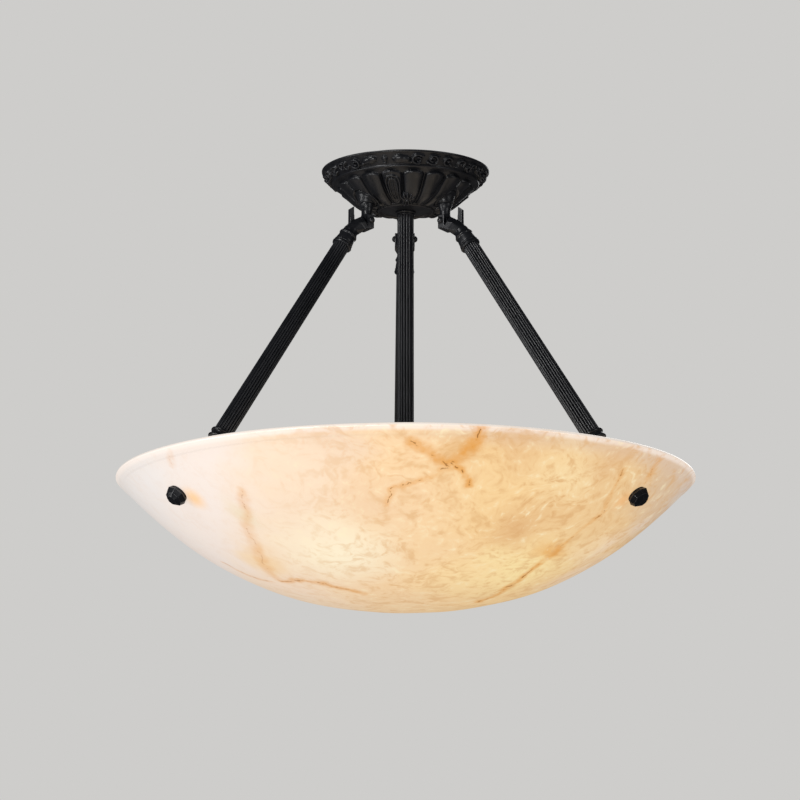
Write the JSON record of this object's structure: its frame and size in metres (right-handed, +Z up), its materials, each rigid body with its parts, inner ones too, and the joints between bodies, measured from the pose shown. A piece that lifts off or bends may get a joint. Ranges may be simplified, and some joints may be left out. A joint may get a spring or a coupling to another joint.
{
  "type": "ceiling pendant light",
  "caption": "Ceiling light with a shallow stone bowl held by fluted rods that hinge under an ornate round canopy, with a fluted centre stem carrying lamps inside the bowl.",
  "frame": {"origin": "centre of the canopy's rim, in the plane of the ceiling", "axes": "+Z up into the ceiling, -Y towards the front, the rods at 210, 330 and 90 degrees from +X"},
  "size_m": [0.6, 0.6, 0.4641],
  "materials": {
    "satin_black": "satin black with worn edges",
    "alabaster": "polished, lit from inside, cream with brown veins",
    "plated_steel": "zinc plated",
    "rubber": "moulded",
    "white_nylon": "moulded nylon and wire cover",
    "lamp_ceramic": "glazed insert",
    "frosted_globe": "frosted and lit"
  },
  "bodies": {
    "ceiling_frame": {"ceiling_strap": "plated_steel", "strap_nut": "plated_steel", "hanger": "plated_steel", "hanger_nut": "plated_steel", "lug_nuts": "plated_steel", "canopy": "satin_black", "canopy_ring": "satin_black", "centre_pipe": "plated_steel", "stem": "satin_black", "cluster_collar": "satin_black", "cluster_body": "satin_black", "cluster_cover": "satin_black", "cluster_cap_nut": "satin_black", "holder_nipples": "plated_steel", "lamp_wires": "white_nylon", "terminal_block": "white_nylon", "terminal_screws": "plated_steel", "earth_screw": "plated_steel", "lug_1": "satin_black", "lug_2": "satin_black", "lug_3": "satin_black", "lampholder_1": "satin_black", "lampholder_2": "satin_black", "lampholder_3": "satin_black", "holder_insert_1": "lamp_ceramic", "holder_insert_2": "lamp_ceramic", "holder_insert_3": "lamp_ceramic"},
    "bowl": {"bowl": "alabaster"},
    "rod_1": {"pivot_pin_1": "satin_black", "rod_fork_1": "satin_black", "rod_1": "satin_black", "rod_foot_1": "satin_black", "wall_stud_1": "plated_steel", "foot_pad_1": "rubber"},
    "washer_1": {"outer_washer_1": "satin_black"},
    "knob_1": {"knob_1": "satin_black"},
    "lamp_1": {"lamp_cap_1": "plated_steel", "lamp_globe_1": "frosted_globe"},
    "rod_2": {"pivot_pin_2": "satin_black", "rod_fork_2": "satin_black", "rod_2": "satin_black", "rod_foot_2": "satin_black", "wall_stud_2": "plated_steel", "foot_pad_2": "rubber"},
    "washer_2": {"outer_washer_2": "satin_black"},
    "knob_2": {"knob_2": "satin_black"},
    "lamp_2": {"lamp_cap_2": "plated_steel", "lamp_globe_2": "frosted_globe"},
    "rod_3": {"pivot_pin_3": "satin_black", "rod_fork_3": "satin_black", "rod_3": "satin_black", "rod_foot_3": "satin_black", "wall_stud_3": "plated_steel", "foot_pad_3": "rubber"},
    "washer_3": {"outer_washer_3": "satin_black"},
    "knob_3": {"knob_3": "satin_black"},
    "lamp_3": {"lamp_cap_3": "plated_steel", "lamp_globe_3": "frosted_globe"}
  },
  "joints": [
    {"name": "bowl_lowering", "type": "slide", "parent": "ceiling_frame", "child": "bowl", "axis": [0, 0, -1], "range_m": [0, 0.1]},
    {"name": "rod_1_swing", "type": "hinge", "parent": "ceiling_frame", "child": "rod_1", "pos_m": [-0.04114, -0.02375, -0.061], "axis": [0.5, -0.866, 0], "range_deg": [0, 10.4]},
    {"name": "washer_1_travel", "type": "slide", "parent": "bowl", "child": "washer_1", "axis": [-0.5748, -0.3318, -0.748], "range_m": [0, 0.0101]},
    {"name": "knob_1_turn", "type": "hinge", "parent": "washer_1", "child": "knob_1", "pos_m": [-0.2282, -0.13175, -0.36828], "axis": [-0.5748, -0.3318, -0.748], "range_deg": [0, 2880]},
    {"name": "lamp_1_withdrawal", "type": "slide", "parent": "ceiling_frame", "child": "lamp_1", "axis": [-0.7071, -0.7071, 0], "range_m": [0, 0.03]},
    {"name": "rod_2_swing", "type": "hinge", "parent": "ceiling_frame", "child": "rod_2", "pos_m": [0.04114, -0.02375, -0.061], "axis": [0.5, 0.866, 0], "range_deg": [0, 10.4]},
    {"name": "washer_2_travel", "type": "slide", "parent": "bowl", "child": "washer_2", "axis": [0.5748, -0.3318, -0.748], "range_m": [0, 0.0101]},
    {"name": "knob_2_turn", "type": "hinge", "parent": "washer_2", "child": "knob_2", "pos_m": [0.2282, -0.13175, -0.36828], "axis": [0.5748, -0.3318, -0.748], "range_deg": [0, 2880]},
    {"name": "lamp_2_withdrawal", "type": "slide", "parent": "ceiling_frame", "child": "lamp_2", "axis": [0.9659, -0.2588, 0], "range_m": [0, 0.03]},
    {"name": "rod_3_swing", "type": "hinge", "parent": "ceiling_frame", "child": "rod_3", "pos_m": [0, 0.0475, -0.061], "axis": [-1, 0, 0], "range_deg": [0, 10.4]},
    {"name": "washer_3_travel", "type": "slide", "parent": "bowl", "child": "washer_3", "axis": [0, 0.6637, -0.748], "range_m": [0, 0.0101]},
    {"name": "knob_3_turn", "type": "hinge", "parent": "washer_3", "child": "knob_3", "pos_m": [0, 0.2635, -0.36828], "axis": [0, 0.6637, -0.748], "range_deg": [0, 2880]},
    {"name": "lamp_3_withdrawal", "type": "slide", "parent": "ceiling_frame", "child": "lamp_3", "axis": [-0.2588, 0.9659, 0], "range_m": [0, 0.03]}
  ],
  "couplings": [
    {"joint": "rod_1_swing", "follows": "bowl_lowering", "rad_per_m": 1.8025},
    {"joint": "washer_1_travel", "follows": "knob_1_turn", "m_per_rad": 0.00019894},
    {"joint": "rod_2_swing", "follows": "bowl_lowering", "rad_per_m": 1.8025},
    {"joint": "washer_2_travel", "follows": "knob_2_turn", "m_per_rad": 0.00019894},
    {"joint": "rod_3_swing", "follows": "bowl_lowering", "rad_per_m": 1.8025},
    {"joint": "washer_3_travel", "follows": "knob_3_turn", "m_per_rad": 0.00019894}
  ]
}
